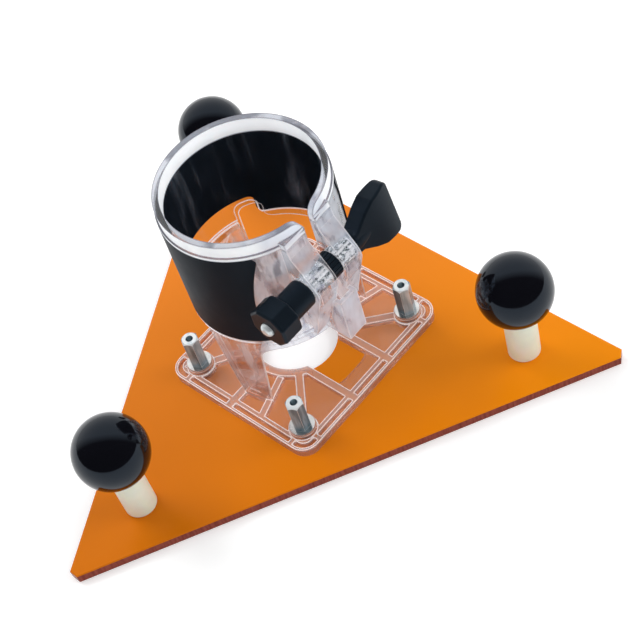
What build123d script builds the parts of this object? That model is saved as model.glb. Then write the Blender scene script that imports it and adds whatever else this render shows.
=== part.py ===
from build123d import *
from math import asin, atan2, cos, degrees, radians, sin, sqrt
import os

# Hand-held base plate for a trim router, in millimetres. The origin is the middle
# of the cutter hole on the underside, +Z points up the motor bore, and +X runs
# along the plate's straight front edge.

# triangular plate
plate_side = 250.0
plate_thickness = 4.5
plate_corner_cut = 4.4
plate_edge_chamfer = 0.4
cutter_hole_diameter = 36.0

# handles: a ball on a sleeve, held by one long screw from below
front_handle_inset = 44.1
back_handle_inset = 41.9
ball_diameter = 32.0
ball_seat_diameter = 14.4
sleeve_diameter = 14.0
sleeve_length = 26.0
sleeve_edge_chamfer = 0.4
insert_diameter = 9.8
insert_length = 12.0
handle_screw_diameter = 6.0
handle_screw_length = 40.0
handle_screw_head_diameter = 11.4
handle_screw_key = 4.0
handle_screw_key_depth = 2.4

# moulded router base: a flange with pockets, three legs and a slit clamp tube
base_turn_deg = 30.9
flange_width = 91.0
flange_front = 45.5
flange_back = 36.5
flange_height = 4.6
flange_corner_radius = 7.5
flange_floor = 1.6
flange_seat_gap = 0.03
flange_opening_diameter = 37.4
ring_diameter = 45.0
rim_width = 1.2
rim_groove = 2.2
inner_rib_width = 2.0
straight_rib_width = 3.5
side_rib_width = 3.8
slant_rib_width = 3.0
slant_rib_start_x = 21.0
slant_rib_start_y = 9.5
slant_rib_turn_deg = 18.0
corner_rib_width = 3.6
cross_rib_width = 2.2
channel_width = 20.0
bore_relief = 0.4

tube_bore_diameter = 65.0
tube_wall = 2.7
tube_top = 110.5
front_window_top = 45.5
front_window_half_width = 32.0
front_window_top_half_width = 30.2
back_window_top = 52.0
back_window_step_top = 62.0
back_window_step_x = 22.0
step_corner_radius = 3.2
back_leg_half_width = 13.2
side_leg_back_low = -1.8
side_leg_back_high = 7.3
window_corner_radius = 4.0
bead_height = 1.6
bead_projection = 0.7

# clamp ears on both sides of the slit, and the looped wall under them
slit_center_x = -0.5
slit_width = 6.0
slit_mouth_radius = 5.0
left_ear_thickness = 11.0
right_ear_thickness = 9.0
bolt_axis_y = -38.6
bolt_axis_z = 81.4
ear_nose_radius = 7.6
ear_top_y = -35.2
ear_top_z = 106.0
ear_neck_y = -36.1
ear_neck_z = 98.5
ear_shoulder_y = -40.3
ear_shoulder_z = 92.6
ear_foot_y = -37.4
ear_foot_z = 52.5
loop_wall = 2.0
loop_front_y = -45.6
loop_bottom_z = 44.5
loop_top_z = 67.0
bushing_diameter = 11.0
bushing_wall = 2.45

# dark wrap round the tube, open in front for the ears
wrap_thickness = 0.7
wrap_bottom = 53.0
wrap_top = 103.2
wrap_end_top_x = 22.6
wrap_end_middle_x = 27.6
wrap_end_low_x = 26.6
wrap_corner_radius = 2.5
wrap_step_height = 11.0

# hexagon posts on raised pads of the flange, each on a washer and held from below
post_across_flats = 7.0
post_length = 16.4
post_hole_diameter = 3.3
post_foot_margin = 0.5
post_crown = 0.8
post_side_inset = 10.0
post_front_inset = 10.0
post_back_inset = 11.0
post_boss_diameter = 13.0
post_pad_diameter = 12.0
post_pad_height = 2.2
washer_diameter = 11.0
washer_thickness = 0.8
washer_hole_diameter = 4.4
base_screw_diameter = 4.0
base_screw_length = 18.0
base_screw_head_diameter = 7.6
base_screw_key = 2.5
base_screw_key_depth = 1.5

# clamp bolt with its wing, its nut knob and the collar between the ears
bolt_diameter = 6.0
bolt_left_end_x = -38.2
bolt_right_end_x = 22.4
bolt_tip_fillet = 2.0
bolt_end_chamfer = 0.8
collar_diameter = 11.6
collar_end_gap = 0.3
knurl_notches = 20
knurl_depth = 0.4
nut_shank_diameter = 12.4
nut_shank_length = 11.7
nut_head_length = 10.0
nut_head_width = 17.4
nut_head_height = 16.4
nut_head_corner = 4.6
nut_head_fillet = 1.2
nut_shank_fillet = 1.2
nut_insert_diameter = 9.0
nut_insert_length = 12.0
wing_hub_diameter = 9.8
wing_hub_length = 4.0
wing_root_width = 9.0
wing_taper_length = 8.0
wing_taper_deg = 6.0
wing_height = 26.6
wing_waist_height = 18.4
wing_waist_x = 22.4
wing_shoulder_height = 23.4
wing_ridge_x = 27.4
wing_end_x = 38.2
wing_neck_x = 18.4
wing_neck_thickness = 8.4
wing_ridge_thickness = 8.8
wing_end_thickness = 4.6
wing_corner_radius = 3.0
wing_edge_fillet = 1.0
wing_lean_deg = 10.0

# fits
screw_recess = 0.2
screw_tip_chamfer = 0.4
screw_clearance = 0.3
thread_clearance = 0.05
seat_clearance = 0.05
press_clearance = 0.02
knob_face_gap = 0.1
overrun = 5.0

os.makedirs("parts", exist_ok=True)

# places that several pieces share
plate_top = plate_thickness
base_bottom = plate_top + flange_seat_gap
flange_top = base_bottom + flange_height
floor_top = base_bottom + flange_floor
bore_radius = tube_bore_diameter / 2
tube_radius = bore_radius + tube_wall
wrap_inner_radius = tube_radius + seat_clearance
wrap_radius = wrap_inner_radius + wrap_thickness
inradius = plate_side / (2 * sqrt(3))
front_handle_radius = 2 * inradius - front_handle_inset
back_handle_radius = 2 * inradius - back_handle_inset
ball_radius = ball_diameter / 2
sleeve_top = plate_top + sleeve_length
ball_center_z = sleeve_top + sqrt(ball_radius**2 - (ball_seat_diameter / 2) ** 2)
slit_left = slit_center_x - slit_width / 2
slit_right = slit_center_x + slit_width / 2
left_ear_face = slit_left - left_ear_thickness
right_ear_face = slit_right + right_ear_thickness
post_half_x = flange_width / 2 - post_side_inset
post_front_y = -flange_front + post_front_inset
post_back_y = flange_back - post_back_inset
post_pad_top = flange_top + post_pad_height
post_seat = post_pad_top + washer_thickness
post_foot = screw_recess + base_screw_length + post_foot_margin - post_seat
flange_depth = flange_front + flange_back
flange_center_y = (flange_back - flange_front) / 2
groove_edge = rim_width + rim_groove
field_edge = groove_edge + inner_rib_width
bolt_radius = bolt_diameter / 2
nut_face_x = left_ear_face - knob_face_gap
nut_head_x = nut_face_x - nut_shank_length
nut_end_x = nut_head_x - nut_head_length
nut_insert_x = nut_face_x - nut_insert_length
wing_face_x = right_ear_face + knob_face_gap

handle_names = ["left", "right", "back"]
handle_places = [
    (front_handle_radius * cos(radians(210)), front_handle_radius * sin(radians(210))),
    (front_handle_radius * cos(radians(330)), front_handle_radius * sin(radians(330))),
    (0, back_handle_radius),
]

# the moulded base stands turned on the plate, so its pieces use this plane
base_plane = Plane.XY.rotated((0, 0, base_turn_deg))
post_names = ["front", "right", "left", "back"]
post_turns_deg = [0, 30, 0, 30]
post_spots = [
    (-post_half_x, post_front_y),
    (post_half_x, post_front_y),
    (-post_half_x, post_back_y),
    (post_half_x, post_back_y),
]
post_places = [base_plane.from_local_coords((x, y, 0)) for x, y in post_spots]


# plane across the clamp bolt at one x of the base: its axes are the base's y and z
def cross_plane(x):
    spot = base_plane.from_local_coords((x, 0, 0))
    return Plane(origin=spot, x_dir=base_plane.y_dir, z_dir=base_plane.x_dir)


# upright plane along the base's x at one y: its axes are the base's x and z
def front_plane(y):
    spot = base_plane.from_local_coords((0, y, 0))
    return Plane(origin=spot, x_dir=base_plane.x_dir, z_dir=-base_plane.y_dir)


# closed outline through a list of points, as a face of the running sketch
def outline(points):
    with BuildLine() as path:
        Polyline(*points, close=True)
    make_face(path.edges())


# upright plane through one vertical axis, for the profiles of turned pieces
def turning_plane(place):
    return Plane(origin=(place[0], place[1], 0), x_dir=(1, 0, 0), z_dir=(0, -1, 0))


def vertical_axis(place):
    return Axis((place[0], place[1], 0), (0, 0, 1))


# hex socket screw with a countersunk head, its head downwards
def countersunk_screw(place, diameter, length, head_diameter, key, key_depth):
    head_radius = head_diameter / 2
    radius = diameter / 2
    tip = screw_recess + length
    profile = [
        (0, screw_recess),
        (head_radius, screw_recess),
        (radius, screw_recess + head_radius - radius),
        (radius, tip - screw_tip_chamfer),
        (radius - screw_tip_chamfer, tip),
        (0, tip),
    ]
    with BuildPart() as screw:
        with BuildSketch(turning_plane(place)):
            outline(profile)
        revolve(axis=vertical_axis(place))
        with BuildSketch(Plane((place[0], place[1], screw_recess))):
            RegularPolygon(radius=key / 2, side_count=6, major_radius=False)
        extrude(amount=key_depth, mode=Mode.SUBTRACT)
    return screw.part


# ring between two radii and two heights round a vertical axis
def upright_ring(place, inner, outer, low, high):
    with BuildPart() as ring:
        with BuildSketch(Plane((place[0], place[1], low))):
            Circle(outer)
            Circle(inner, mode=Mode.SUBTRACT)
        extrude(amount=high - low)
    return ring.part


# orange plate with its cutter hole and countersunk screw holes
with BuildPart() as base_plate:
    with BuildSketch():
        outline(
            [
                (-plate_side / 2, -inradius),
                (plate_side / 2, -inradius),
                (0, 2 * inradius),
            ]
        )
        chamfer(vertices(), plate_corner_cut)
    extrude(amount=plate_thickness)
    chamfer(faces().sort_by(Axis.Z)[-1].outer_wire().edges(), plate_edge_chamfer)
    Hole(cutter_hole_diameter / 2)
    for x, y in handle_places:
        with Locations(Location((x, y, 0), (180, 0, 0))):
            CounterSinkHole(
                handle_screw_diameter / 2 + screw_clearance,
                handle_screw_head_diameter / 2 + screw_recess + seat_clearance,
                counter_sink_angle=90,
            )
    for place in post_places:
        with Locations(Location((place.X, place.Y, 0), (180, 0, 0))):
            CounterSinkHole(
                base_screw_diameter / 2 + screw_clearance,
                base_screw_head_diameter / 2 + screw_recess + seat_clearance,
                counter_sink_angle=90,
            )
base_plate.part.label = "base_plate"
export_step(base_plate.part, "parts/base_plate.step")

# one ball, one sleeve for each handle
for name, place in zip(handle_names, handle_places):
    sleeve = upright_ring(
        place,
        handle_screw_diameter / 2 + screw_clearance,
        sleeve_diameter / 2,
        plate_top,
        sleeve_top,
    )
    with BuildPart() as handle_sleeve:
        add(sleeve)
        rings = handle_sleeve.edges().filter_by(GeomType.CIRCLE)
        outer = rings.filter_by(lambda edge: edge.radius > sleeve_diameter / 3)
        chamfer(outer, sleeve_edge_chamfer)
    handle_sleeve.part.label = "handle_sleeve_" + name
    export_step(handle_sleeve.part, "parts/handle_sleeve_" + name + ".step")

    with BuildPart() as handle_ball:
        with BuildSketch(turning_plane(place)):
            with BuildLine():
                ThreePointArc(
                    (ball_seat_diameter / 2, sleeve_top),
                    (ball_radius, ball_center_z),
                    (0, ball_center_z + ball_radius),
                )
                Polyline(
                    (0, ball_center_z + ball_radius),
                    (0, sleeve_top + insert_length),
                    (insert_diameter / 2 + press_clearance, sleeve_top + insert_length),
                    (insert_diameter / 2 + press_clearance, sleeve_top),
                    (ball_seat_diameter / 2, sleeve_top),
                )
            make_face()
        revolve(axis=vertical_axis(place))
    handle_ball.part.label = "handle_ball_" + name
    export_step(handle_ball.part, "parts/handle_ball_" + name + ".step")

# threaded brass inserts in the balls
inserts = [
    upright_ring(
        place,
        handle_screw_diameter / 2 + thread_clearance,
        insert_diameter / 2,
        sleeve_top,
        sleeve_top + insert_length,
    )
    for place in handle_places
]
with BuildPart() as ball_inserts:
    add(inserts)
ball_inserts.part.label = "ball_inserts"
export_step(ball_inserts.part, "parts/ball_inserts.step")

# long screws up through the sleeves
long_screws = [
    countersunk_screw(
        place,
        handle_screw_diameter,
        handle_screw_length,
        handle_screw_head_diameter,
        handle_screw_key,
        handle_screw_key_depth,
    )
    for place in handle_places
]
with BuildPart() as handle_screws:
    add(long_screws)
handle_screws.part.label = "handle_screws"
export_step(handle_screws.part, "parts/handle_screws.step")


# flange of the moulded base, with the pockets between its ribs
def pocket_sketch():
    width = flange_width - 2 * field_edge
    depth = flange_depth - 2 * field_edge
    with Locations((0, flange_center_y)):
        Rectangle(width, depth)
    Circle(ring_diameter / 2, mode=Mode.SUBTRACT)
    rib_x = (channel_width + straight_rib_width) / 2
    for side in (-1, 1):
        with Locations((side * rib_x, -flange_front / 2)):
            Rectangle(straight_rib_width, flange_front, mode=Mode.SUBTRACT)
        with Locations((side * flange_width / 4, 0)):
            Rectangle(flange_width / 2, side_rib_width, mode=Mode.SUBTRACT)
        start = (side * slant_rib_start_x, -slant_rib_start_y, 0)
        turn = 90 - side * (90 + slant_rib_turn_deg)
        with Locations(Location(start, (0, 0, turn))):
            Rectangle(
                flange_width / 2,
                slant_rib_width,
                align=(Align.MIN, Align.CENTER),
                mode=Mode.SUBTRACT,
            )
    for x, y in post_spots:
        turn = degrees(atan2(y, x))
        with Locations(Location((0, 0, 0), (0, 0, turn))):
            Rectangle(
                sqrt(x**2 + y**2),
                corner_rib_width,
                align=(Align.MIN, Align.CENTER),
                mode=Mode.SUBTRACT,
            )
    with Locations(*post_spots):
        Circle(post_boss_diameter / 2, mode=Mode.SUBTRACT)


# narrow groove between the flange's rim and its inner rib, parted by short cross ribs
def groove_sketch():
    with Locations((0, flange_center_y)):
        RectangleRounded(
            flange_width - 2 * rim_width,
            flange_depth - 2 * rim_width,
            flange_corner_radius - rim_width,
        )
        RectangleRounded(
            flange_width - 2 * groove_edge,
            flange_depth - 2 * groove_edge,
            flange_corner_radius - groove_edge,
            mode=Mode.SUBTRACT,
        )
    rib_x = (channel_width + straight_rib_width) / 2
    with Locations((-rib_x, flange_center_y), (rib_x, flange_center_y)):
        Rectangle(straight_rib_width, flange_depth, mode=Mode.SUBTRACT)
    Rectangle(flange_width, side_rib_width, mode=Mode.SUBTRACT)
    for x, y in post_spots:
        with Locations((x, flange_center_y)):
            Rectangle(cross_rib_width, flange_depth, mode=Mode.SUBTRACT)
        with Locations((0, y)):
            Rectangle(flange_width, cross_rib_width, mode=Mode.SUBTRACT)


# side outline of the clamp ears, from the tube out round the bolt and back
def ear_outline():
    nose_top = (ear_shoulder_y - bolt_axis_y, ear_shoulder_z - bolt_axis_z)
    reach = sqrt(nose_top[0] ** 2 + nose_top[1] ** 2)
    lean = degrees(asin(ear_nose_radius / reach))
    to_shoulder = degrees(atan2(nose_top[1], nose_top[0]))
    start = radians(to_shoulder + 90 - lean)
    foot = (ear_foot_y - bolt_axis_y, ear_foot_z - bolt_axis_z)
    drop = sqrt(foot[0] ** 2 + foot[1] ** 2)
    foot_lean = degrees(asin(ear_nose_radius / drop))
    to_foot = degrees(atan2(foot[1], foot[0])) + 360
    end = radians(to_foot - 90 + foot_lean)
    middle = (start + end) / 2
    arc = [
        (bolt_axis_y + ear_nose_radius * cos(a), bolt_axis_z + ear_nose_radius * sin(a))
        for a in (start, middle, end)
    ]
    inner_y = -bore_radius / 2
    with BuildLine() as path:
        Polyline(
            (inner_y, ear_foot_z),
            (inner_y, ear_top_z),
            (ear_top_y, ear_top_z),
            (ear_neck_y, ear_neck_z),
            (ear_shoulder_y, ear_shoulder_z),
            arc[0],
        )
        ThreePointArc(*arc)
        Polyline(arc[2], (ear_foot_y, ear_foot_z), (inner_y, ear_foot_z))
    make_face(path.edges())


# tube of the moulded base with its beads, legs and windows
with BuildPart() as clamp_tube:
    with BuildSketch(base_plane.offset(floor_top)):
        Circle(tube_radius)
    extrude(amount=tube_top - floor_top)
    for low in (wrap_bottom - bead_height, wrap_top):
        with BuildSketch(base_plane.offset(low)):
            Circle(tube_radius + bead_projection)
        extrude(amount=bead_height)
    with BuildSketch(base_plane.offset(flange_top)):
        Circle(bore_radius)
    extrude(amount=tube_top, mode=Mode.SUBTRACT)
    with BuildSketch(base_plane.offset(floor_top)):
        Circle(bore_radius + bore_relief)
    extrude(amount=flange_top - floor_top, mode=Mode.SUBTRACT)
    # one wide window in front
    with BuildSketch(front_plane(0)):
        outline(
            [
                (-front_window_half_width, floor_top),
                (front_window_half_width, floor_top),
                (front_window_top_half_width, front_window_top),
                (-front_window_top_half_width, front_window_top),
            ]
        )
        fillet(vertices().group_by(Axis.Y)[-1], window_corner_radius)
    extrude(amount=tube_radius + overrun, mode=Mode.SUBTRACT)
    # a window on each side of the back leg, with a step in its upper edge
    for side in (-1, 1):
        with BuildSketch(cross_plane(side * back_leg_half_width)):
            outline(
                [
                    (side_leg_back_low, floor_top),
                    (tube_radius + overrun, floor_top),
                    (tube_radius + overrun, back_window_top),
                    (side_leg_back_high, back_window_top),
                ]
            )
        extrude(amount=side * (tube_radius + overrun), mode=Mode.SUBTRACT)
        step_width = back_window_step_x - back_leg_half_width
        with BuildSketch(front_plane(0)):
            outline(
                [
                    (side * back_leg_half_width, floor_top),
                    (side * (back_window_step_x + step_width), floor_top),
                    (side * (back_window_step_x + step_width), back_window_top),
                    (side * back_window_step_x, back_window_top),
                    (side * back_window_step_x, back_window_step_top),
                    (side * back_leg_half_width, back_window_step_top),
                ]
            )
            step_corners = vertices().group_by(Axis.Y)[-1]
            fillet(step_corners, step_corner_radius)
            fillet(
                vertices().sort_by_distance((side * back_window_step_x, back_window_top))[0],
                step_corner_radius,
            )
        extrude(amount=-tube_radius - overrun, mode=Mode.SUBTRACT)

# clear moulded router base
with BuildPart() as router_base:
    with BuildSketch(base_plane.offset(base_bottom)):
        with Locations((0, flange_center_y)):
            RectangleRounded(flange_width, flange_depth, flange_corner_radius)
    extrude(amount=flange_height)
    with BuildSketch(base_plane.offset(floor_top)):
        pocket_sketch()
    extrude(amount=flange_height, mode=Mode.SUBTRACT)
    with BuildSketch(base_plane.offset(floor_top)):
        groove_sketch()
    extrude(amount=flange_height, mode=Mode.SUBTRACT)
    # round opening and the channel under the ears, both down to the plate
    with BuildSketch(base_plane.offset(base_bottom)):
        with Locations((0, -bore_radius / 2)):
            Rectangle(channel_width, bore_radius)
        Circle(bore_radius + bore_relief, mode=Mode.INTERSECT)
        Circle(flange_opening_diameter / 2)
    extrude(amount=flange_height, mode=Mode.SUBTRACT)
    # raised pads under the posts
    with BuildSketch(base_plane.offset(flange_top)):
        with Locations(*post_spots):
            Circle(post_pad_diameter / 2)
    extrude(amount=post_pad_height)
    add(clamp_tube.part)
    # ears, and the looped wall under them, both trimmed to the bore
    with BuildSketch(cross_plane(left_ear_face)):
        ear_outline()
    extrude(amount=right_ear_face - left_ear_face)
    with BuildSketch(front_plane(-bore_radius / 2)):
        with Locations((slit_center_x, (loop_bottom_z + loop_top_z) / 2)):
            Rectangle(slit_width + 2 * loop_wall, loop_top_z - loop_bottom_z)
    extrude(amount=-loop_front_y - bore_radius / 2)
    with BuildSketch(base_plane.offset(flange_top)):
        Circle(bore_radius)
    extrude(amount=tube_top, mode=Mode.SUBTRACT)
    # slit, closed in front by the loop's wall up to the loop's top
    with BuildSketch(front_plane(0)):
        with Locations((slit_center_x, (loop_bottom_z + tube_top) / 2)):
            Rectangle(slit_width, tube_top - loop_bottom_z + overrun)
    extrude(amount=-loop_front_y - loop_wall, mode=Mode.SUBTRACT)
    with BuildSketch(front_plane(0)):
        with Locations((slit_center_x, loop_top_z + tube_top / 2)):
            Rectangle(slit_width, tube_top)
    extrude(amount=-bolt_axis_y + 2 * ear_nose_radius, mode=Mode.SUBTRACT)
    # the slit's mouth is rounded off at the rim
    with BuildSketch(front_plane(0)):
        mouth_offset = slit_width / 2 + slit_mouth_radius
        with Locations((slit_center_x, tube_top)):
            Rectangle(2 * mouth_offset, 2 * slit_mouth_radius)
        for side in (-1, 1):
            with Locations((slit_center_x + side * mouth_offset, tube_top - slit_mouth_radius)):
                Circle(slit_mouth_radius, mode=Mode.SUBTRACT)
    extrude(amount=tube_radius + overrun, mode=Mode.SUBTRACT)
    # seats for the bushings in both ears
    with BuildSketch(cross_plane(left_ear_face)):
        with Locations((bolt_axis_y, bolt_axis_z)):
            Circle(bushing_diameter / 2 + press_clearance)
    extrude(amount=right_ear_face - left_ear_face, mode=Mode.SUBTRACT)
    # screw holes under the posts
    with BuildSketch(base_plane.offset(base_bottom)):
        with Locations(*post_spots):
            Circle(base_screw_diameter / 2 + screw_clearance)
    extrude(amount=flange_height + post_pad_height, mode=Mode.SUBTRACT)
router_base.part.label = "router_base"
export_step(router_base.part, "parts/router_base.step")

# dark wrap on the tube
with BuildPart() as tube_wrap:
    with BuildSketch(base_plane.offset(wrap_bottom)):
        Circle(wrap_radius)
        Circle(wrap_inner_radius, mode=Mode.SUBTRACT)
    extrude(amount=wrap_top - wrap_bottom)
    # the opening in front has hollow ends and rounded corners
    wrap_middle = (wrap_bottom + wrap_top) / 2
    corner = wrap_corner_radius
    with BuildSketch(front_plane(0)):
        with BuildLine():
            ThreePointArc(
                (-wrap_end_low_x, wrap_bottom),
                (-wrap_end_middle_x, wrap_middle),
                (-wrap_end_top_x, wrap_top),
            )
            Polyline(
                (-wrap_end_top_x, wrap_top),
                (-wrap_end_top_x - 2 * corner, wrap_top),
                (-wrap_end_top_x - 2 * corner, wrap_top + overrun),
                (wrap_end_top_x + 2 * corner, wrap_top + overrun),
                (wrap_end_top_x + 2 * corner, wrap_top),
                (wrap_end_top_x, wrap_top),
            )
            ThreePointArc(
                (wrap_end_top_x, wrap_top),
                (wrap_end_middle_x, wrap_middle),
                (wrap_end_low_x, wrap_bottom),
            )
            Polyline(
                (wrap_end_low_x, wrap_bottom),
                (wrap_end_low_x, wrap_bottom - overrun),
                (-wrap_end_low_x, wrap_bottom - overrun),
                (-wrap_end_low_x, wrap_bottom),
            )
        make_face()
        inner_corners = vertices().filter_by(lambda v: abs(v.X) < wrap_end_top_x + corner)
        fillet(inner_corners.filter_by(lambda v: v.Y > wrap_middle + corner), corner)
    extrude(amount=wrap_radius + overrun, mode=Mode.SUBTRACT)
    # the back edge is stepped up over the back leg
    step_top = wrap_bottom + wrap_step_height
    with BuildSketch(front_plane(0)):
        outline(
            [
                (-back_window_step_x - 2 * step_corner_radius, wrap_bottom - overrun),
                (back_window_step_x + 2 * step_corner_radius, wrap_bottom - overrun),
                (back_window_step_x + 2 * step_corner_radius, wrap_bottom),
                (back_window_step_x, wrap_bottom),
                (back_window_step_x, step_top),
                (-back_window_step_x, step_top),
                (-back_window_step_x, wrap_bottom),
                (-back_window_step_x - 2 * step_corner_radius, wrap_bottom),
            ]
        )
        step_corners = vertices().filter_by(lambda v: abs(v.X) < back_window_step_x + step_corner_radius)
        fillet(step_corners, step_corner_radius)
    extrude(amount=-wrap_radius - overrun, mode=Mode.SUBTRACT)
tube_wrap.part.label = "tube_wrap"
export_step(tube_wrap.part, "parts/tube_wrap.step")

# washers between the pads and the posts
with BuildPart() as post_washers:
    for place in post_places:
        add(
            upright_ring(
                (place.X, place.Y),
                washer_hole_diameter / 2,
                washer_diameter / 2,
                post_pad_top,
                post_seat,
            )
        )
post_washers.part.label = "post_washers"
export_step(post_washers.part, "parts/post_washers.step")

# hexagon posts with a turned crown
post_corner_radius = post_across_flats / sqrt(3)
for name, place, turn in zip(post_names, post_places, post_turns_deg):
    with BuildPart() as post:
        with BuildSketch(base_plane.offset(post_seat)):
            with Locations(base_plane.to_local_coords(place)):
                Circle(post_corner_radius)
        extrude(amount=post_length)
        chamfer(post.faces().sort_by(Axis.Z)[-1].edges(), post_crown)
        with BuildSketch(base_plane.offset(post_seat)):
            with Locations(base_plane.to_local_coords(place)):
                RegularPolygon(post_across_flats / 2, 6, major_radius=False, rotation=turn)
        extrude(amount=post_length, mode=Mode.INTERSECT)
        # a deeper thread from below for the base screw, and one from above
        with BuildSketch(base_plane.offset(post_seat)):
            with Locations(base_plane.to_local_coords(place)):
                Circle(base_screw_diameter / 2 + thread_clearance)
        extrude(amount=post_foot, mode=Mode.SUBTRACT)
        with BuildSketch(base_plane.offset(post_seat + post_foot)):
            with Locations(base_plane.to_local_coords(place)):
                Circle(post_hole_diameter / 2)
        extrude(amount=post_length, mode=Mode.SUBTRACT)
    post.part.label = "post_" + name
    export_step(post.part, "parts/post_" + name + ".step")

# short screws from below into the posts
short_screws = [
    countersunk_screw(
        (place.X, place.Y),
        base_screw_diameter,
        base_screw_length,
        base_screw_head_diameter,
        base_screw_key,
        base_screw_key_depth,
    )
    for place in post_places
]
with BuildPart() as base_screws:
    add(short_screws)
base_screws.part.label = "base_screws"
export_step(base_screws.part, "parts/base_screws.step")


# ring round the clamp bolt between two x places, with a notched rim where it is knurled
def bolt_ring(inner, outer, left, right, notches):
    with BuildPart() as ring:
        with BuildSketch(cross_plane(left)):
            with Locations((bolt_axis_y, bolt_axis_z)):
                Circle(outer)
                Circle(inner, mode=Mode.SUBTRACT)
                if notches > 0:
                    with PolarLocations(outer, notches):
                        RegularPolygon(knurl_depth, 4, mode=Mode.SUBTRACT)
        extrude(amount=right - left)
    return ring.part


# metal bushings in the ears
for name, left, right in (
    ("left", left_ear_face, slit_left),
    ("right", slit_right, right_ear_face),
):
    with BuildPart() as ear_bushing:
        add(
            bolt_ring(
                bushing_diameter / 2 - bushing_wall,
                bushing_diameter / 2,
                left,
                right,
                knurl_notches,
            )
        )
    ear_bushing.part.label = "ear_bushing_" + name
    export_step(ear_bushing.part, "parts/ear_bushing_" + name + ".step")

# collar on the bolt between the ears
with BuildPart() as gap_collar:
    add(
        bolt_ring(
            bolt_radius + thread_clearance,
            collar_diameter / 2,
            slit_left + collar_end_gap,
            slit_right - collar_end_gap,
            knurl_notches,
        )
    )
gap_collar.part.label = "gap_collar"
export_step(gap_collar.part, "parts/gap_collar.step")

# clamp bolt
with BuildPart() as clamp_bolt:
    with BuildSketch(cross_plane(bolt_left_end_x)):
        with Locations((bolt_axis_y, bolt_axis_z)):
            Circle(bolt_radius)
    extrude(amount=bolt_right_end_x - bolt_left_end_x)
    bolt_line = Axis((0, 0, 0), base_plane.x_dir)
    ends = clamp_bolt.edges().filter_by(GeomType.CIRCLE).sort_by(bolt_line)
    fillet(ends[0], bolt_tip_fillet)
    ends = clamp_bolt.edges().filter_by(GeomType.CIRCLE).sort_by(bolt_line)
    chamfer(ends[-1], bolt_end_chamfer)
clamp_bolt.part.label = "clamp_bolt"
export_step(clamp_bolt.part, "parts/clamp_bolt.step")

# nut knob on the left end of the bolt, and its threaded insert
with BuildPart() as nut_knob:
    with BuildSketch(cross_plane(nut_end_x)):
        with Locations((bolt_axis_y, bolt_axis_z)):
            Rectangle(nut_head_width, nut_head_height)
        chamfer(vertices(), nut_head_corner)
    extrude(amount=nut_head_length)
    fillet(nut_knob.edges(), nut_head_fillet)
    with BuildSketch(cross_plane(nut_head_x)):
        with Locations((bolt_axis_y, bolt_axis_z)):
            Circle(nut_shank_diameter / 2)
    extrude(amount=nut_shank_length)
    shank_end = nut_knob.edges().filter_by(GeomType.CIRCLE).sort_by(bolt_line)[-1]
    fillet(shank_end, nut_shank_fillet)
    with BuildSketch(cross_plane(nut_end_x)):
        with Locations((bolt_axis_y, bolt_axis_z)):
            Circle(bolt_radius + screw_clearance)
    extrude(amount=nut_head_length + nut_shank_length, mode=Mode.SUBTRACT)
    with BuildSketch(cross_plane(nut_insert_x)):
        with Locations((bolt_axis_y, bolt_axis_z)):
            Circle(nut_insert_diameter / 2 + press_clearance)
    extrude(amount=nut_insert_length, mode=Mode.SUBTRACT)
nut_knob.part.label = "nut_knob"
export_step(nut_knob.part, "parts/nut_knob.step")

with BuildPart() as nut_insert:
    add(
        bolt_ring(
            bolt_radius + thread_clearance,
            nut_insert_diameter / 2,
            nut_insert_x,
            nut_face_x,
            0,
        )
    )
nut_insert.part.label = "nut_insert"
export_step(nut_insert.part, "parts/nut_insert.step")


# the wing's own planes: x along the bolt from the wing's inner face, y across the
# blade and z up the blade, which leans back a little out of upright
wing_face_spot = base_plane.from_local_coords((wing_face_x, bolt_axis_y, bolt_axis_z))
lean = radians(wing_lean_deg)
wing_up = base_plane.z_dir * cos(lean) + base_plane.y_dir * sin(lean)
wing_plane = Plane(origin=wing_face_spot, x_dir=base_plane.x_dir, z_dir=wing_up)
wing_side_plane = Plane(
    origin=wing_face_spot, x_dir=base_plane.x_dir, z_dir=-wing_plane.y_dir
)
wing_cross_plane = Plane(
    origin=wing_face_spot, x_dir=wing_plane.y_dir, z_dir=base_plane.x_dir
)
wing_neck = wing_neck_x - wing_face_x
wing_waist = wing_waist_x - wing_face_x
wing_ridge = wing_ridge_x - wing_face_x
wing_end = wing_end_x - wing_face_x

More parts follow.
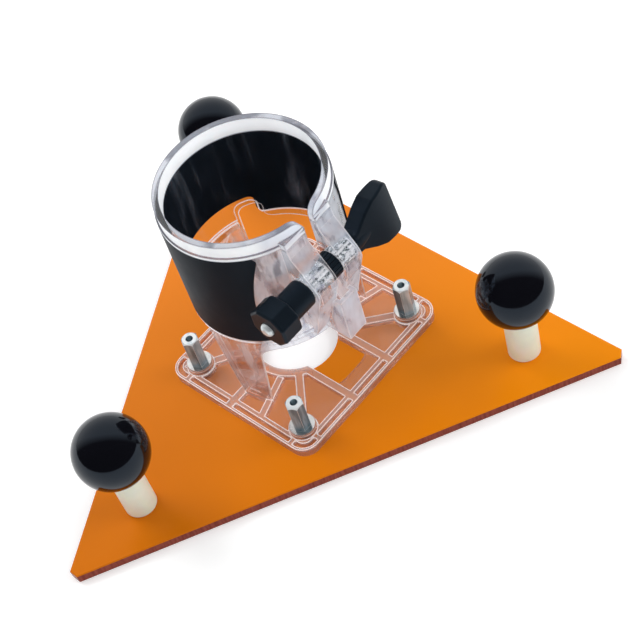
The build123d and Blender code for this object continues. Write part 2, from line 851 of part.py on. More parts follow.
# wing knob on the right end
with BuildPart() as wing_knob:
    # blade as seen from above: narrow at its neck and thickest at its ridge
    with BuildSketch(wing_plane.offset(-wing_height)):
        with BuildLine() as blade_edge:
            for side in (-1, 1):
                Spline(
                    (wing_hub_length / 2, side * wing_root_width / 2),
                    (wing_neck, side * wing_neck_thickness / 2),
                    (wing_ridge, side * wing_ridge_thickness / 2),
                    (wing_end, side * wing_end_thickness / 2),
                )
            Line((wing_end, -wing_end_thickness / 2), (wing_end, wing_end_thickness / 2))
            Line(
                (wing_hub_length / 2, -wing_root_width / 2),
                (wing_hub_length / 2, wing_root_width / 2),
            )
        make_face(blade_edge.edges())
    extrude(amount=2 * wing_height)
    # blade as seen from the side: it flares from the hub to its full height
    with BuildSketch(wing_side_plane.offset(-wing_height)):
        outline(
            [
                (wing_hub_length / 2, -wing_root_width / 2),
                (wing_hub_length, -wing_root_width / 2),
                (wing_waist, -wing_waist_height / 2),
                (wing_ridge, -wing_shoulder_height / 2),
                (wing_end, -wing_height / 2),
                (wing_end, wing_height / 2),
                (wing_ridge, wing_shoulder_height / 2),
                (wing_waist, wing_waist_height / 2),
                (wing_hub_length, wing_root_width / 2),
                (wing_hub_length / 2, wing_root_width / 2),
            ]
        )
        fillet(vertices().sort_by(Axis.X)[2:], wing_corner_radius)
    extrude(amount=2 * wing_height, mode=Mode.INTERSECT)
    fillet(wing_knob.edges(), wing_edge_fillet)
    with BuildSketch(wing_cross_plane):
        Circle(wing_hub_diameter / 2)
    extrude(amount=wing_hub_length)
    with BuildSketch(wing_cross_plane.offset(wing_hub_length)):
        Circle(wing_hub_diameter / 2)
    extrude(amount=wing_taper_length, taper=wing_taper_deg)
    with BuildSketch(wing_cross_plane):
        Circle(bolt_radius + press_clearance)
    extrude(amount=bolt_right_end_x - wing_face_x, mode=Mode.SUBTRACT)
wing_knob.part.label = "wing_knob"
export_step(wing_knob.part, "parts/wing_knob.step")
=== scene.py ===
from math import cos, radians, sin

import bpy
from mathutils import Matrix, Vector

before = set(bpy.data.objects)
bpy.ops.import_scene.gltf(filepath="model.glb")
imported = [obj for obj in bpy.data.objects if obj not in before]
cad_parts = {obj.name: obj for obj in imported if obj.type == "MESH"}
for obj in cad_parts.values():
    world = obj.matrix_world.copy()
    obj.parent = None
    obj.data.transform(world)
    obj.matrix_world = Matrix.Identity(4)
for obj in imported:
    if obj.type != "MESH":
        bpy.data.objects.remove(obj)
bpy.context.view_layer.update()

scene = bpy.context.scene


# the heights of all points of a piece in the frame
def heights_of(node_name):
    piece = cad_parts[node_name]
    return [(piece.matrix_world @ vertex.co).z for vertex in piece.data.vertices]


# a hand-held base plate for a trim router
# sizes and places are in metres, a noise's waves are per metre, and colours are red, green, blue
plate_half = 0.12

# the moulded base's own frame is turned on the plate: along its front, forward, and up
base_turn = radians(30.9)

# heights of the flange and its ribs, the legs, and the sill of the back window
flange_height = 0.0046
flange_top = min(heights_of("router_base")) + flange_height
rib_low = 0.0074
rib_high = 0.0083
leg_low = 0.0105
leg_high = 0.0490
sill_high = 0.0635

# the tube behind the film, from a little below it to just below its top, where the collar begins
below_film = 0.002
collar_overlap = 0.0002
film_low = min(heights_of("tube_wrap")) - below_film
film_high = max(heights_of("tube_wrap")) - collar_overlap

# the front wall: where it begins, how far forward its face is, and the heights of its foot
# and of the top of its lowest stretch
front_start = 0.016
front_full = 0.022
wall_face = 0.0358
skirt_low = 0.0440
low_wall_top = 0.0565

# the collar's lip beside the slit, and the ears with the clear round eye where the bolt passes
lip_left = -0.020
lip_right = 0.010
ears_left = -0.0138
ears_right = 0.0108
bolt_forward = 0.0386
bolt_height = (min(heights_of("clamp_bolt")) + max(heights_of("clamp_bolt"))) / 2
eye_inner = 0.0084
eye_outer = 0.0115

# widths of the painted highlight and painted dark lines at edges, and of the soft ends of places
mould_edge_width = 0.0011
post_edge_width = 0.0005
soft_end = 0.002
thin_end = 0.0004
fade_end = 0.0008

# how many finer layers a noise has
plain_detail = 1.0
smooth_detail = 2.0
cloudy_detail = 3.0
grainy_detail = 4.0
sandy_detail = 5.0


# a number, direction or colour is set on a socket, and another node's output is linked to it
def put(tree, value, socket):
    if isinstance(value, bpy.types.NodeSocket):
        tree.links.new(value, socket)
    else:
        socket.default_value = value


def feed(tree, node, **values):
    for key, value in values.items():
        put(tree, value, node.inputs[key.replace("_", " ")])


def add_node(tree, kind, **settings):
    node = tree.nodes.new(kind)
    for key, value in settings.items():
        setattr(node, key, value)
    return node


def new_material(name):
    material = bpy.data.materials.new(name)
    material.use_nodes = True
    material.node_tree.nodes.clear()
    return material, material.node_tree


# the last step of each material, and of the world
def show(tree, shader, kind="ShaderNodeOutputMaterial"):
    output = add_node(tree, kind)
    tree.links.new(shader, output.inputs["Surface"])


def opaque(colour):
    return (*colour, 1.0)


def object_coordinates(tree):
    return add_node(tree, "ShaderNodeTexCoord").outputs["Object"]


def split(tree, vector):
    node = add_node(tree, "ShaderNodeSeparateXYZ")
    feed(tree, node, Vector=vector)
    return node.outputs


def combine(tree, operation, first, second=0.0):
    node = add_node(tree, "ShaderNodeMath", operation=operation)
    put(tree, first, node.inputs[0])
    put(tree, second, node.inputs[1])
    return node.outputs[0]


def scaled(tree, value, share):
    return combine(tree, "MULTIPLY", value, share)


def added(tree, first, second):
    return combine(tree, "ADD", first, second)


def less(tree, first, second):
    return combine(tree, "SUBTRACT", first, second)


# what a share leaves of the whole
def rest(tree, share):
    return less(tree, 1.0, share)


def most(tree, values):
    result = values[0]
    for value in values[1:]:
        result = combine(tree, "MAXIMUM", result, value)
    return result


def dot(tree, first, second):
    node = add_node(tree, "ShaderNodeVectorMath", operation="DOT_PRODUCT")
    put(tree, first, node.inputs[0])
    put(tree, second, node.inputs[1])
    return node.outputs["Value"]


# a value that runs steadily from low to high while another runs from start to end
def spread(tree, value, low, high, start=0.0, end=1.0):
    node = add_node(tree, "ShaderNodeMapRange")
    feed(tree, node, Value=value, From_Min=start, From_Max=end, To_Min=low, To_Max=high)
    return node.outputs["Result"]


# a value that runs gently from low to high while another runs from start to end
def band(tree, value, start, end, low=0.0, high=1.0):
    node = add_node(tree, "ShaderNodeMapRange", interpolation_type="SMOOTHSTEP")
    feed(tree, node, Value=value, From_Min=start, From_Max=end, To_Min=low, To_Max=high)
    return node.outputs["Result"]


# 1 up to the start and 0 past the end
def fade(tree, value, start, end):
    return band(tree, value, start, end, 1.0, 0.0)


# 1 between two places and 0 beyond them
def zone(tree, value, low, high, soft):
    rise = band(tree, value, low - soft, low + soft)
    fall = fade(tree, value, high - soft, high + soft)
    return scaled(tree, rise, fall)


def noise(tree, waves, detail, coordinates=None):
    node = add_node(tree, "ShaderNodeTexNoise")
    feed(tree, node, Vector=coordinates or object_coordinates(tree), Scale=waves, Detail=detail)
    return node.outputs["Fac"]


# a noise that is drawn out, with its waves along X, Y and Z
def drawn_noise(tree, waves, detail):
    node = add_node(tree, "ShaderNodeMapping")
    feed(tree, node, Vector=object_coordinates(tree), Scale=waves)
    return noise(tree, 1.0, detail, node.outputs["Vector"])


def ramp(tree, value, stops):
    node = add_node(tree, "ShaderNodeValToRGB")
    elements = node.color_ramp.elements
    for place, colour in stops[2:]:
        elements.new(place)
    for element, (place, colour) in zip(elements, stops):
        element.position = place
        element.color = opaque(colour)
    feed(tree, node, Fac=value)
    return node.outputs["Color"]


# a colour that varies with a noise between two others
def mottled(tree, value, first, second):
    low_share = 0.3
    high_share = 0.7
    return ramp(tree, value, [(low_share, first), (high_share, second)])


def mix_colours(tree, share, first, second, blend="MIX"):
    node = add_node(tree, "ShaderNodeMix", data_type="RGBA", blend_type=blend)
    feed(tree, node, Factor=share, A=first, B=second)
    return node.outputs["Result"]


def mix_shaders(tree, share, first, second):
    node = add_node(tree, "ShaderNodeMixShader")
    feed(tree, node, Fac=share)
    put(tree, first, node.inputs[1])
    put(tree, second, node.inputs[2])
    return node.outputs["Shader"]


def bump(tree, height, strength, depth):
    node = add_node(tree, "ShaderNodeBump")
    feed(tree, node, Height=height, Strength=strength, Distance=depth)
    return node.outputs["Normal"]


def surface_normal(tree):
    return add_node(tree, "ShaderNodeNewGeometry").outputs["Normal"]


# 1 where a face looks up or down and 0 where it is upright
def level_share(tree):
    return combine(tree, "ABSOLUTE", split(tree, surface_normal(tree))["Z"])


# 1 close to an edge of the mesh and 0 on open faces
def edge_share(tree, width):
    sharp_turn = 0.88
    slight_turn = 0.985
    samples = 6
    rounded = add_node(tree, "ShaderNodeBevel", samples=samples)
    feed(tree, rounded, Radius=width)
    alike = dot(tree, rounded.outputs["Normal"], surface_normal(tree))
    return fade(tree, alike, sharp_turn, slight_turn)


# places in the moulded base's own frame: along its front, forward, up
def base_places(tree):
    place = object_coordinates(tree)
    along = dot(tree, place, (cos(base_turn), sin(base_turn), 0.0))
    forward = dot(tree, place, (sin(base_turn), -cos(base_turn), 0.0))
    return along, forward, split(tree, place)["Z"]


# orange sheet with painted shade, deeper towards its left, and a painted reflection, paler towards
# its back, with dark sawn edges
def make_plate_material():
    sheet_and_painted_light_stops = [
        (0.1, (0.62, 0.155, 0.001)),
        (0.5, (0.76, 0.20, 0.001)),
        (0.9, (0.96, 0.29, 0.001)),
    ]
    painted_reflection_colour = (0.86, 0.245, 0.028)
    sawn_dark = (0.20, 0.035, 0.022)
    sawn_light = (0.33, 0.075, 0.05)
    left_share = 0.1
    right_share = 0.8
    blotch_waves = 14.0
    blotch_share = 0.2
    sawn_waves = (900.0, 900.0, 90.0)
    edge_level_share = 0.25
    face_level_share = 0.5
    fine_waves = 160.0
    rough = (0.16, 0.3)
    dent_waves = 26.0
    dent_strength = 0.12
    dent_depth = 0.0006
    material, tree = new_material("orange_sheet")
    place = split(tree, object_coordinates(tree))
    # painted shade and light: the sheet is darker orange to the left and brighter to the right
    painted_light_across = band(tree, place["X"], -plate_half, plate_half, left_share, right_share)
    blotch = spread(tree, noise(tree, blotch_waves, smooth_detail), -blotch_share, blotch_share)
    front_with_painted_shade = ramp(tree, added(tree, painted_light_across, blotch), sheet_and_painted_light_stops)
    # painted reflection: the sheet turns paler towards its back
    painted_reflection_share = band(tree, place["Y"], -plate_half, plate_half)
    sheet_with_painted_light_and_reflection = mix_colours(tree, painted_reflection_share, front_with_painted_shade, opaque(painted_reflection_colour))
    sawn = mottled(tree, drawn_noise(tree, sawn_waves, cloudy_detail), sawn_dark, sawn_light)
    flat = spread(tree, level_share(tree), 0.0, 1.0, edge_level_share, face_level_share)
    shader = add_node(tree, "ShaderNodeBsdfPrincipled")
    feed(tree, shader, Base_Color=mix_colours(tree, flat, sawn, sheet_with_painted_light_and_reflection), IOR=1.49)
    feed(tree, shader, Roughness=spread(tree, noise(tree, fine_waves, sandy_detail), *rough))
    feed(tree, shader, Specular_IOR_Level=0.06)
    dents = noise(tree, dent_waves, smooth_detail)
    feed(tree, shader, Normal=bump(tree, dents, dent_strength, dent_depth))
    show(tree, shader.outputs["BSDF"])
    return material


# where the clear moulding differs: each zone is 1 inside and 0 outside
def clear_zones(tree):
    along, forward, up = base_places(tree)
    level = level_share(tree)
    front = band(tree, forward, front_start, front_full)
    back = rest(tree, front)
    flange = fade(tree, up, flange_top + thin_end, flange_top + thin_end + fade_end)
    ribs = band(tree, up, rib_low, rib_high)
    wall = fade(tree, forward, wall_face - thin_end, wall_face + thin_end)
    low = zone(tree, up, skirt_low, low_wall_top, soft_end)
    ears = zone(tree, along, ears_left, ears_right, thin_end)
    return {
        "level": level,
        "upright": rest(tree, level),
        "flange": flange,
        "ribs": ribs,
        "rib edges": scaled(tree, flange, ribs),
        "shanks": zone(tree, up, leg_low, skirt_low, soft_end),
        "legs": zone(tree, up, leg_low, leg_high, soft_end),
        "sill": scaled(tree, zone(tree, up, leg_high, sill_high, thin_end), back),
        "film": scaled(tree, zone(tree, up, film_low, film_high, thin_end), back),
        "collar": band(tree, up, film_high - thin_end, film_high + fade_end),
        "front": scaled(tree, zone(tree, up, skirt_low, film_high, soft_end), front),
        "high": band(tree, up, leg_high, sill_high),
        "low wall": scaled(tree, scaled(tree, front, low), wall),
        "lip": scaled(tree, zone(tree, along, lip_left, lip_right, soft_end), front),
        "eye": scaled(tree, bolt_eye(tree, forward, up), ears),
    }


# 1 round the bolt's axis, in a view along the bolt
def bolt_eye(tree, forward, up):
    off_forward = less(tree, forward, bolt_forward)
    off_up = less(tree, up, bolt_height)
    squares = added(tree, scaled(tree, off_forward, off_forward), scaled(tree, off_up, off_up))
    return fade(tree, combine(tree, "SQRT", squares), eye_inner, eye_outer)


# smoky streaks in the front wall, weaker low down
def front_flaws(tree, zones):
    flaw_waves = (190.0, 190.0, 60.0)
    flaw_band = (0.52, 0.66)
    low_share = 0.35
    flaw = band(tree, drawn_noise(tree, flaw_waves, cloudy_detail), *flaw_band)
    return scaled(tree, flaw, spread(tree, zones["high"], low_share, 1.0))


# streaks behind the film, which are stronger in clusters
def film_haze(tree, streak):
    streak_band = (0.54, 0.74)
    cluster_waves = 28.0
    cluster_band = (0.46, 0.6)
    apart_share = 0.25
    haze_share = 0.22
    clusters = band(tree, noise(tree, cluster_waves, plain_detail), *cluster_band, apart_share)
    streaks = scaled(tree, band(tree, streak, *streak_band), clusters)
    return scaled(tree, streaks, haze_share)


# the legs are nearly clear, with streaks
def leg_haze(tree, streak):
    streak_band = (0.5, 0.62)
    least_share = 0.02
    streak_share = 0.3
    streaks = band(tree, streak, *streak_band)
    return added(tree, scaled(tree, streaks, streak_share), least_share)


# the upright walls of the collar are white, least so beside its slit
def collar_haze(tree, zones):
    least_share = 0.08
    white_share = 0.84
    lip_share = 0.2
    white = less(tree, white_share, scaled(tree, zones["lip"], lip_share))
    return added(tree, scaled(tree, zones["upright"], white), least_share)


# the front wall is hazy in blotches, and clear round the bolt, low down and in its streaks
def front_haze(tree, zones):
    blotch_waves = (150.0, 150.0, 50.0)
    blotch_shares = (0.05, 0.8)
    flaw_share = 0.7
    low_wall_share = 0.8
    blotch = spread(tree, drawn_noise(tree, blotch_waves, cloudy_detail), *blotch_shares)
    clean = rest(tree, scaled(tree, front_flaws(tree, zones), flaw_share))
    off_eye = rest(tree, zones["eye"])
    thinner = rest(tree, scaled(tree, zones["low wall"], low_wall_share))
    return scaled(tree, scaled(tree, scaled(tree, off_eye, blotch), clean), thinner)


# how cloudy the moulding is
def clear_milk(tree, zones):
    streak_waves = (150.0, 150.0, 22.0)
    flange_share = 0.08
    rib_share = 0.2
    streak = drawn_noise(tree, streak_waves, cloudy_detail)
    flange_haze = added(tree, scaled(tree, zones["ribs"], rib_share), flange_share)
    hazes = {
        "flange": flange_haze,
        "legs": leg_haze(tree, streak),
        "film": film_haze(tree, streak),
        "collar": collar_haze(tree, zones),
        "front": front_haze(tree, zones),
    }
    return most(tree, [scaled(tree, zones[name], haze) for name, haze in hazes.items()])


# how strongly the edges carry painted lines: crisp on the flange's ribs, weaker on the rest
def clear_painted_edges(tree, zones):
    shares = {"rib edges": 1.0, "legs": 0.6, "film": 0.4, "sill": 0.9, "front": 0.45, "collar": 0.7}
    strength = most(tree, [scaled(tree, zones[name], share) for name, share in shares.items()])
    return scaled(tree, edge_share(tree, mould_edge_width), strength)


# the tint of the clear plastic: the collar's level rim is greyer in patches of painted glints, the
# streaks in front are greyer, the flange's walls browner with painted shade, and the shanks of the
# legs browner
def clear_tint(tree, zones):
    grey_stops = [(0.0, (0.96, 0.97, 0.99)), (0.6, (0.60, 0.62, 0.70)), (1.0, (0.14, 0.155, 0.20))]
    brown_stops = [(0.0, (0.97, 0.97, 0.97)), (1.0, (0.72, 0.56, 0.52))]
    glint_waves = 45.0
    glint_band = (0.46, 0.58)
    glint_share = 0.5
    flaw_share = 0.85
    shank_share = 0.5
    flaws = scaled(tree, front_flaws(tree, zones), zones["front"])
    glint = band(tree, noise(tree, glint_waves, cloudy_detail), *glint_band, glint_share)
    # painted glints: the collar's level rim turns grey in patches
    painted_rim_glints = scaled(tree, scaled(tree, zones["collar"], zones["level"]), glint)
    grey = most(tree, [painted_rim_glints, scaled(tree, flaws, flaw_share)])
    # painted shade: the flange's upright walls are browner
    painted_shade_on_flange_walls = scaled(tree, zones["flange"], zones["upright"])
    brown_and_painted_shade = most(tree, [painted_shade_on_flange_walls, scaled(tree, zones["shanks"], shank_share)])
    grey_tint = ramp(tree, grey, grey_stops)
    brown_tint = ramp(tree, brown_and_painted_shade, brown_stops)
    return mix_colours(tree, 1.0, grey_tint, brown_tint, "MULTIPLY")


# half of what lies behind shows straight and half shows bent, but all of it shows straight
# through the tube behind the film, low in the front wall and, nearly so, round the bolt
def clear_glass(tree, zones, flow):
    rough = (0.02, 0.10)
    ripple_waves = 120.0
    ripple_strength = 0.15
    ripple_depth = 0.0004
    straight_share = 0.5
    eye_share = 0.7
    tint = clear_tint(tree, zones)
    bent = add_node(tree, "ShaderNodeBsdfPrincipled")
    feed(tree, bent, Base_Color=tint, Transmission_Weight=1.0, IOR=1.4)
    feed(tree, bent, Roughness=spread(tree, flow, *rough))
    ripple = noise(tree, ripple_waves, smooth_detail)
    feed(tree, bent, Normal=bump(tree, ripple, ripple_strength, ripple_depth))
    straight = add_node(tree, "ShaderNodeBsdfTransparent")
    feed(tree, straight, Color=tint)
    bare = most(tree, [zones["film"], scaled(tree, zones["eye"], eye_share), zones["low wall"]])
    share = spread(tree, bare, straight_share, 1.0)
    return mix_shaders(tree, share, bent.outputs["BSDF"], straight.outputs["BSDF"])


# haze is pink on the flange, blue behind the film, lilac in front and white on the collar, where it
# also glows with painted light
def clear_haze(tree, zones):
    haze_stops = [
        (0.0, (0.86, 0.80, 0.84)),
        (0.3, (0.50, 0.62, 0.78)),
        (0.6, (0.70, 0.78, 0.92)),
        (1.0, (0.96, 0.99, 1.0)),
    ]
    film_share = 0.3
    front_share = 0.6
    lip_share = 0.35
    painted_glow_share = 0.3
    light_colour = (0.92, 0.98, 1.0)
    glow_colour = (0.88, 0.94, 1.0)
    glow_share = 0.35
    whiteness = rest(tree, scaled(tree, zones["lip"], lip_share))
    white = scaled(tree, zones["collar"], whiteness)
    film_pick = scaled(tree, zones["film"], film_share)
    front_pick = scaled(tree, zones["front"], front_share)
    pick = added(tree, added(tree, film_pick, front_pick), white)
    face = add_node(tree, "ShaderNodeBsdfPrincipled")
    feed(tree, face, Base_Color=ramp(tree, pick, haze_stops), Roughness=0.25, IOR=1.46)
    # painted light: the white haze of the collar glows
    feed(tree, face, Emission_Color=opaque(light_colour))
    feed(tree, face, Emission_Strength=scaled(tree, white, painted_glow_share))
    glow = add_node(tree, "ShaderNodeBsdfTranslucent")
    feed(tree, glow, Color=opaque(glow_colour))
    return mix_shaders(tree, glow_share, face.outputs["BSDF"], glow.outputs["BSDF"])


# edges carry painted highlight lines, which glow with painted light on the flange and the sill, and
# round the collar's rim they are painted dark lines instead
def clear_painted_lines(tree, zones):
    painted_highlight_colour = (0.97, 0.94, 0.96)
    painted_dark_line_colour = (0.16, 0.16, 0.21)
    light_colour = (1.0, 0.97, 0.99)
    painted_glow_shares = {"flange": 0.14, "sill": 0.25}
    line = add_node(tree, "ShaderNodeBsdfPrincipled")
    # painted highlight lines at edges, and painted dark lines round the collar's rim
    colour = ramp(tree, zones["collar"], [(0.0, painted_highlight_colour), (1.0, painted_dark_line_colour)])
    # painted light: the edge lines on the flange and the sill glow
    light = most(tree, [scaled(tree, zones[name], share) for name, share in painted_glow_shares.items()])
    feed(tree, line, Base_Color=colour, Roughness=0.3, IOR=1.46)
    feed(tree, line, Emission_Color=opaque(light_colour), Emission_Strength=light)
    return line.outputs["BSDF"]


def make_clear_material():
    flow_waves = 60.0
    flow_shares = (0.7, 1.3)
    through_colour = (0.96, 0.95, 0.96)
    material, tree = new_material("clear_moulding")
    zones = clear_zones(tree)
    flow = noise(tree, flow_waves, cloudy_detail)
    milk = scaled(tree, clear_milk(tree, zones), spread(tree, flow, *flow_shares))
    body = mix_shaders(tree, milk, clear_glass(tree, zones, flow), clear_haze(tree, zones))
    # painted highlight lines and painted dark lines at the edges
    lined = mix_shaders(tree, clear_painted_edges(tree, zones), body, clear_painted_lines(tree, zones))
    # lamp light and soft light pass straight through to what lies behind
    path = add_node(tree, "ShaderNodeLightPath").outputs
    unseen = most(tree, [path["Is Shadow Ray"], path["Is Diffuse Ray"]])
    through = add_node(tree, "ShaderNodeBsdfTransparent")
    feed(tree, through, Color=opaque(through_colour))
    show(tree, mix_shaders(tree, unseen, lined, through.outputs["BSDF"]))
    return material


# the film's inner side, seen through the tube, is duller than its outer side
def make_film_material():
    dark_colour = (0.009, 0.013, 0.018)
    light_colour = (0.013, 0.018, 0.025)
    shine_colour = (0.5, 0.75, 1.0)
    outer_shine = 0.05
    broad_waves = 40.0
    fine_waves = 220.0
    rough = (0.4, 0.5)
    grain_strength = 0.3
    grain_depth = 0.00005
    level_axes = (1.0, 1.0, 0.0)
    material, tree = new_material("dark_film")
    flat = add_node(tree, "ShaderNodeVectorMath", operation="MULTIPLY")
    put(tree, object_coordinates(tree), flat.inputs[0])
    put(tree, level_axes, flat.inputs[1])
    outward = dot(tree, surface_normal(tree), flat.outputs["Vector"])
    outer = band(tree, outward, -thin_end, thin_end)
    fine = noise(tree, fine_waves, grainy_detail)
    shader = add_node(tree, "ShaderNodeBsdfPrincipled")
    colour = mottled(tree, noise(tree, broad_waves, cloudy_detail), dark_colour, light_colour)
    feed(tree, shader, Base_Color=colour, IOR=1.5)
    feed(tree, shader, Roughness=spread(tree, fine, *rough))
    feed(tree, shader, Normal=bump(tree, fine, grain_strength, grain_depth))
    feed(tree, shader, Specular_IOR_Level=spread(tree, outer, 0.0, outer_shine))
    feed(tree, shader, Specular_Tint=opaque(shine_colour))
    show(tree, shader.outputs["BSDF"])
    return material


# black plastics, with their fine grain and the colour of their sheen
black_finishes = {
    "polished_black": {
        "colour": (0.003, 0.003, 0.0045),
        "rough": (0.05, 0.12),
        "grain_waves": 90.0,
        "grain_depth": 0.00003,
        "shine": 0.36,
        "shine_colour": (0.6, 0.78, 1.0),
    },
    "moulded_black": {
        "colour": (0.005, 0.007, 0.010),
        "rough": (0.4, 0.52),
        "grain_waves": 900.0,
        "grain_depth": 0.00006,
        "shine": 0.2,
        "shine_colour": (0.38, 0.68, 1.0),
    },
}


def make_black_material(name):
    finish = black_finishes[name]
    broad_waves = 40.0
    light_factor = 1.5
    grain_strength = 0.3
    material, tree = new_material(name)
    light = tuple(channel * light_factor for channel in finish["colour"])
    fine = noise(tree, finish["grain_waves"], grainy_detail)
    shader = add_node(tree, "ShaderNodeBsdfPrincipled")
    colour = mottled(tree, noise(tree, broad_waves, cloudy_detail), finish["colour"], light)
    feed(tree, shader, Base_Color=colour, IOR=1.5)
    feed(tree, shader, Roughness=spread(tree, fine, *finish["rough"]))
    feed(tree, shader, Normal=bump(tree, fine, grain_strength, finish["grain_depth"]))
    feed(tree, shader, Specular_IOR_Level=finish["shine"])
    feed(tree, shader, Specular_Tint=opaque(finish["shine_colour"]))
    show(tree, shader.outputs["BSDF"])
    return material


# turned ivory-coloured plastic, with fine rings round its axis
def make_sleeve_material():
    dark_colour = (0.82, 0.90, 0.76)
    light_colour = (0.90, 0.98, 0.84)
    shade_waves = 90.0
    turned_waves = (40.0, 40.0, 2500.0)
    rough = (0.32, 0.5)
    turned_strength = 0.2
    turned_depth = 0.00008
    glow_depth = 0.003
    material, tree = new_material("turned_ivory")
    turned = drawn_noise(tree, turned_waves, cloudy_detail)
    shader = add_node(tree, "ShaderNodeBsdfPrincipled")
    colour = mottled(tree, noise(tree, shade_waves, cloudy_detail), dark_colour, light_colour)
    feed(tree, shader, Base_Color=colour, IOR=1.5)
    feed(tree, shader, Subsurface_Weight=0.25, Subsurface_Scale=glow_depth)
    feed(tree, shader, Roughness=spread(tree, turned, *rough))
    feed(tree, shader, Normal=bump(tree, turned, turned_strength, turned_depth))
    show(tree, shader.outputs["BSDF"])
    return material


# brushed and turned metals
metal_finishes = {
    "bright_nickel": {
        "colour": (0.82, 0.82, 0.81),
        "rough": (0.12, 0.26),
        "brush_waves": (300.0, 300.0, 1200.0),
        "metallic": 1.0,
    },
    "turned_nickel": {
        "colour": (0.82, 0.88, 0.90),
        "rough": (0.25, 0.4),
        "brush_waves": (300.0, 300.0, 1200.0),
        "metallic": 0.4,
    },
    "zinc_steel": {
        "colour": (0.62, 0.63, 0.64),
        "rough": (0.2, 0.36),
        "brush_waves": (500.0, 500.0, 500.0),
        "metallic": 1.0,
    },
    "machined_brass": {
        "colour": (0.72, 0.52, 0.2),
        "rough": (0.2, 0.35),
        "brush_waves": (900.0, 900.0, 900.0),
        "metallic": 1.0,
    },
}


def make_metal_material(name):
    finish = metal_finishes[name]
    dark_share = 0.8
    brush_strength = 0.15
    brush_depth = 0.00006
    material, tree = new_material(name)
    dark = tuple(channel * dark_share for channel in finish["colour"])
    brushed = drawn_noise(tree, finish["brush_waves"], grainy_detail)
    shader = add_node(tree, "ShaderNodeBsdfPrincipled")
    feed(tree, shader, Base_Color=mottled(tree, brushed, dark, finish["colour"]))
    feed(tree, shader, Metallic=finish["metallic"])
    feed(tree, shader, Roughness=spread(tree, brushed, *finish["rough"]))
    feed(tree, shader, Normal=bump(tree, brushed, brush_strength, brush_depth))
    show(tree, shader.outputs["BSDF"])
    return material


# bright metals with painted glints and shade: their colour changes from what faces the eye to what
# is seen aslant, with a random flicker, and the posts' edges carry painted highlight lines
glint_finishes = {
    "posts_painted_glint": {
        "stops": [
            (0.24, (0.90, 0.94, 0.95)),
            (0.36, (0.44, 0.58, 0.66)),
            (0.5, (0.13, 0.20, 0.24)),
            (0.68, (0.04, 0.06, 0.08)),
            (0.85, (0.54, 0.70, 0.78)),
        ],
        "flicker_waves": (420.0, 420.0, 60.0),
        "flicker": 0.5,
        "painted_edge_highlight": 0.9,
        "rough": (0.2, 0.3),
        "metallic": 0.25,
    },
    "knurled_nickel_painted_glint": {
        "stops": [
            (0.22, (0.98, 0.98, 0.98)),
            (0.36, (0.40, 0.46, 0.48)),
            (0.44, (0.01, 0.02, 0.02)),
            (0.54, (0.02, 0.03, 0.03)),
            (0.60, (0.95, 0.97, 0.98)),
            (0.8, (0.45, 0.50, 0.52)),
        ],
        "flicker_waves": (420.0, 420.0, 420.0),
        "flicker": 2.6,
        "painted_edge_highlight": 0.0,
        "rough": (0.12, 0.25),
        "metallic": 0.35,
    },
}


def make_glint_material(name):
    finish = glint_finishes[name]
    painted_edge_highlight_colour = (0.92, 0.96, 0.98)
    noise_middle = 0.5
    material, tree = new_material(name)
    slant = add_node(tree, "ShaderNodeLayerWeight")
    feed(tree, slant, Blend=0.5)
    flicker = drawn_noise(tree, finish["flicker_waves"], cloudy_detail)
    shift = scaled(tree, less(tree, flicker, noise_middle), finish["flicker"])
    # painted glints and shade: light where a face looks at the eye, dark where it is seen aslant
    colour = ramp(tree, added(tree, slant.outputs["Facing"], shift), finish["stops"])
    # painted highlight lines at the edges
    edges = scaled(tree, edge_share(tree, post_edge_width), finish["painted_edge_highlight"])
    shader = add_node(tree, "ShaderNodeBsdfPrincipled")
    feed(tree, shader, Base_Color=mix_colours(tree, edges, colour, opaque(painted_edge_highlight_colour)))
    feed(tree, shader, Roughness=spread(tree, flicker, *finish["rough"]))
    feed(tree, shader, Metallic=finish["metallic"])
    show(tree, shader.outputs["BSDF"])
    return material


def dress(material, node_names):
    for node_name in node_names:
        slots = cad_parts[node_name].data.materials
        slots.clear()
        slots.append(material)


handles = ("left", "right", "back")
posts = ("front", "right", "left", "back")
dress(make_plate_material(), ["base_plate"])
dress(make_clear_material(), ["router_base"])
dress(make_film_material(), ["tube_wrap"])
dress(make_black_material("polished_black"), ["handle_ball_" + side for side in handles])
dress(make_black_material("moulded_black"), ["gap_collar", "nut_knob", "wing_knob"])
dress(make_sleeve_material(), ["handle_sleeve_" + side for side in handles])
dress(make_metal_material("bright_nickel"), ["post_washers"])
dress(make_glint_material("posts_painted_glint"), ["post_" + side for side in posts])
dress(make_glint_material("knurled_nickel_painted_glint"), ["ear_bushing_left", "ear_bushing_right"])
dress(make_metal_material("turned_nickel"), ["clamp_bolt"])
dress(make_metal_material("zinc_steel"), ["handle_screws", "base_screws"])
dress(make_metal_material("machined_brass"), ["ball_inserts", "nut_insert"])


# the camera stands where the photo's outlines put it, with its lens in millimetres
def place_camera():
    place = Vector((-0.0156, -0.4097, 0.5132))
    right = Vector((0.9281, -0.3118, -0.2034)).normalized()
    forward = Vector((0.0428, 0.6322, -0.7736)).normalized()
    data = bpy.data.cameras.new("camera")
    data.sensor_width = 36.0
    data.lens = 83.18
    data.clip_start = 0.01
    camera = bpy.data.objects.new("camera", data)
    scene.collection.objects.link(camera)
    up = right.cross(forward).normalized()
    right = forward.cross(up).normalized()
    turn = Matrix((right, up, -forward)).transposed().to_4x4()
    camera.matrix_world = Matrix.Translation(place) @ turn
    scene.camera = camera


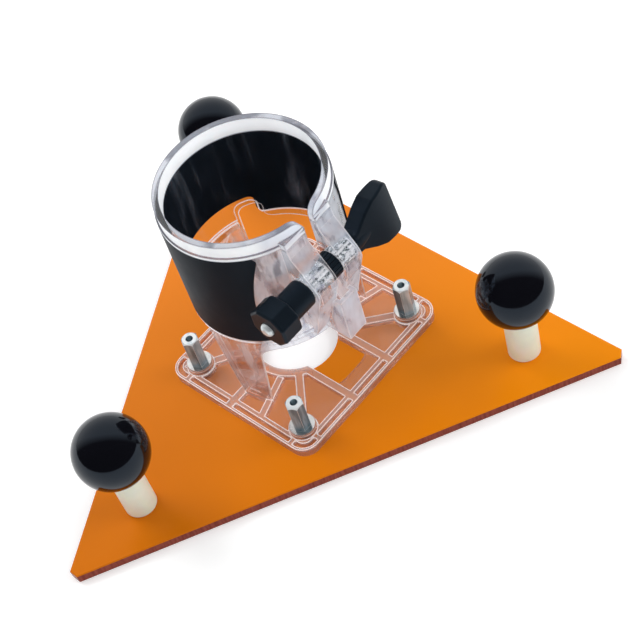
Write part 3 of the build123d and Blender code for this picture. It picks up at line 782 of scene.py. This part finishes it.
# the floor is a little brighter to the eye, in reflections and through clear plastic
def make_floor():
    half = 3.0
    low = -0.0003
    grain_waves = 14.0
    dark_colour = (0.86, 0.86, 0.86)
    light_colour = (0.9, 0.9, 0.9)
    glow_share = 0.28
    mesh = bpy.data.meshes.new("floor")
    corners = [(-half, -half, low), (half, -half, low), (half, half, low), (-half, half, low)]
    mesh.from_pydata(corners, [], [(0, 1, 2, 3)])
    floor = bpy.data.objects.new("floor", mesh)
    scene.collection.objects.link(floor)
    material, tree = new_material("pale_floor")
    colour = mottled(tree, noise(tree, grain_waves, cloudy_detail), dark_colour, light_colour)
    shade = add_node(tree, "ShaderNodeBsdfPrincipled")
    feed(tree, shade, Base_Color=colour, Roughness=0.9, Specular_IOR_Level=0.0)
    path = add_node(tree, "ShaderNodeLightPath").outputs
    seen = most(tree, [path["Is Camera Ray"], path["Is Glossy Ray"], path["Is Transmission Ray"]])
    glow = add_node(tree, "ShaderNodeEmission")
    feed(tree, glow, Strength=scaled(tree, seen, glow_share))
    both = add_node(tree, "ShaderNodeAddShader")
    put(tree, shade.outputs["BSDF"], both.inputs[0])
    put(tree, glow.outputs["Emission"], both.inputs[1])
    show(tree, both.outputs["Shader"])
    mesh.materials.append(material)


def background(tree, colour, strength):
    node = add_node(tree, "ShaderNodeBackground")
    feed(tree, node, Color=colour, Strength=strength)
    return node.outputs["Background"]


# the sky is white to the camera and through clear plastic; in reflections it is
# bright behind the object and dark above and in front, as in a photo studio
def make_world():
    white = opaque((1.0, 1.0, 1.0))
    behind = Vector((0.25, 0.95, 0.2)).normalized()
    mirror_stops = [(0.15, (0.02, 0.02, 0.025)), (0.5, (1.0, 1.0, 1.0))]
    soft_strength = 0.62
    world = bpy.data.worlds.new("studio")
    scene.world = world
    world.use_nodes = True
    tree = world.node_tree
    tree.nodes.clear()
    place = add_node(tree, "ShaderNodeTexCoord").outputs["Generated"]
    mirror = background(tree, ramp(tree, dot(tree, place, behind), mirror_stops), 1.0)
    path = add_node(tree, "ShaderNodeLightPath").outputs
    seen = most(tree, [path["Is Camera Ray"], path["Is Transmission Ray"]])
    unseen = mix_shaders(tree, path["Is Glossy Ray"], background(tree, white, soft_strength), mirror)
    sky = mix_shaders(tree, seen, unseen, background(tree, white, 1.0))
    show(tree, sky, "ShaderNodeOutputWorld")


# square soft lamps that aim at the middle of the part
lamps = {
    "key": {"place": (-0.7, 0.9, 1.3), "size": 0.9, "watts": 12.0},
    "fill": {"place": (1.1, -0.3, 0.9), "size": 0.8, "watts": 7.0},
}
lamp_target = (0.0, 0.0, 0.03)


def add_lamp(name, place, size, watts):
    data = bpy.data.lights.new(name, "AREA")
    data.shape = "SQUARE"
    data.size = size
    data.energy = watts
    lamp = bpy.data.objects.new(name, data)
    lamp.location = place
    lamp.rotation_mode = "QUATERNION"
    lamp.rotation_quaternion = (Vector(lamp_target) - Vector(place)).to_track_quat("-Z", "Y")
    lamp.visible_glossy = False
    scene.collection.objects.link(lamp)


place_camera()
make_floor()
make_world()
for lamp_name, lamp in lamps.items():
    add_lamp(lamp_name, **lamp)

scene.view_settings.view_transform = "Standard"
